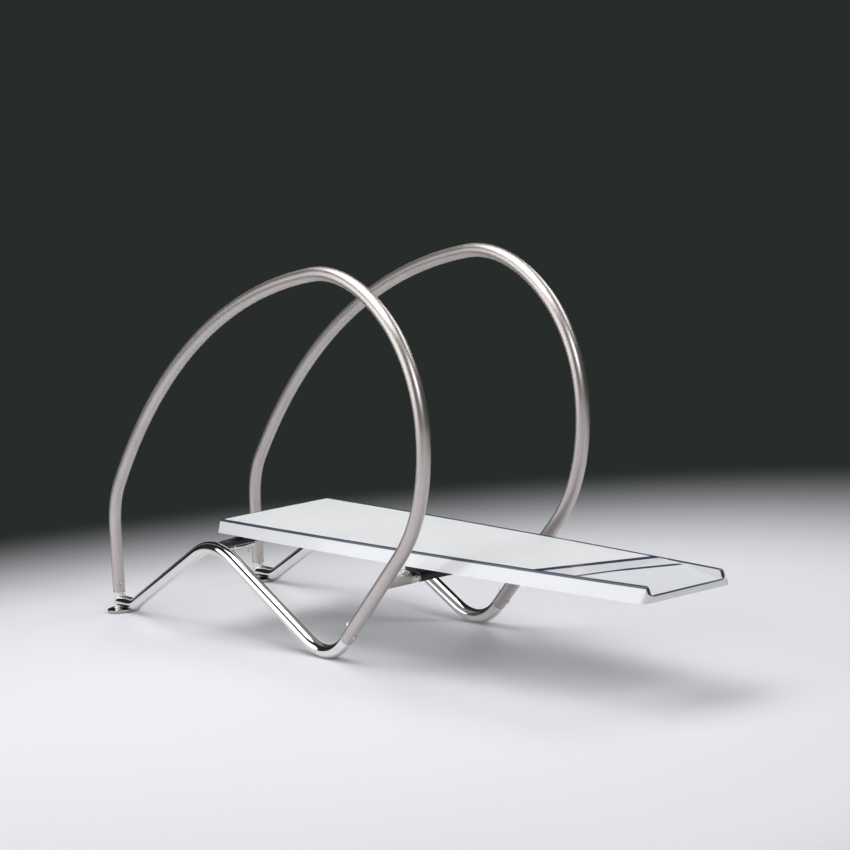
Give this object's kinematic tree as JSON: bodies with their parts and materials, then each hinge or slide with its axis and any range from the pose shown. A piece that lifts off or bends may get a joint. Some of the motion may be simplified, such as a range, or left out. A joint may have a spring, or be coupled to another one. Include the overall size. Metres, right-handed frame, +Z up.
{
  "type": "diving board",
  "caption": "Diving board: tapered glass fibre board on zigzag polished legs between looped satin handrails, with a rubber roller fulcrum.",
  "frame": {"origin": "centre of the bounding box at floor level, under the middle of the length and on the centre plane between the frames", "axes": "+X from the rear of the board to its tip, +Y to the left when facing the tip, +Z up"},
  "size_m": [2.9886, 0.682, 1.2264],
  "materials": {
    "satin_steel": "satin, fine grain along the tube",
    "polished_steel": "mirror polished stainless steel",
    "plate_steel": "polished stainless steel",
    "bright_fastener": "turned stainless steel",
    "inner_steel": "machined steel",
    "black_steel": "satin black",
    "black_rubber": "matt",
    "nylon": "moulded nylon",
    "gelcoat_white": "gelcoat over glass fibre",
    "laminate": "raw glass fibre laminate",
    "tread_white": "fine non-slip grit",
    "band_white": "smooth gelcoat",
    "tip_grey": "fine non-slip grit",
    "navy": "smooth gelcoat",
    "spruce": "planed",
    "brass": "turned"
  },
  "bodies": {
    "frame": {"handrail_right": "satin_steel", "leg_tube_right": "polished_steel", "spigot_right": "polished_steel", "foot_plate_right": "plate_steel", "foot_gasket_right": "black_rubber", "rear_coupling_right": "inner_steel", "front_coupling_right": "inner_steel", "rear_joint_screws_right": "bright_fastener", "front_joint_bolt_right": "bright_fastener", "front_joint_nut_right": "bright_fastener", "fulcrum_stub_right": "satin_steel", "fulcrum_lock_bolt_right": "bright_fastener", "fulcrum_collar_right": "polished_steel", "seat_bracket_right": "polished_steel", "handrail_left": "satin_steel", "leg_tube_left": "polished_steel", "spigot_left": "polished_steel", "foot_plate_left": "plate_steel", "foot_gasket_left": "black_rubber", "rear_coupling_left": "inner_steel", "front_coupling_left": "inner_steel", "rear_joint_screws_left": "bright_fastener", "front_joint_bolt_left": "bright_fastener", "front_joint_nut_left": "bright_fastener", "fulcrum_stub_left": "satin_steel", "fulcrum_lock_bolt_left": "bright_fastener", "fulcrum_collar_left": "polished_steel", "seat_bracket_left": "polished_steel", "collar_screws": "bright_fastener", "fulcrum_shaft": "polished_steel", "seat_bar": "black_steel", "seat_bar_caps": "black_rubber", "seat_bushes": "black_rubber", "seat_washers": "bright_fastener"},
    "roller": {"roller_rubber": "black_rubber", "roller_core": "inner_steel", "roller_bushings": "nylon"},
    "board": {"board_shell": "gelcoat_white", "board_stringers": "spruce", "board_bottom_skin": "laminate", "board_edge_trim": "navy", "deck_tread": "tread_white", "deck_band": "band_white", "deck_tip_field": "tip_grey", "stripe_wide": "navy", "stripe_thin": "navy", "board_inserts": "brass", "seat_bolts": "bright_fastener", "seat_nuts": "bright_fastener", "seat_block": "black_rubber", "fulcrum_pad": "black_rubber", "fulcrum_pad_screws": "bright_fastener"}
  },
  "joints": [
    {"name": "roller_spin", "type": "hinge", "parent": "frame", "child": "roller", "pos_m": [0.37768, 0, 0.2745], "axis": [0, 1, 0], "continuous": true},
    {"name": "board_rock", "type": "hinge", "parent": "frame", "child": "board", "pos_m": [-0.73132, 0, 0.31], "axis": [0, -1, 0], "range_deg": [0, 1.5]}
  ]
}
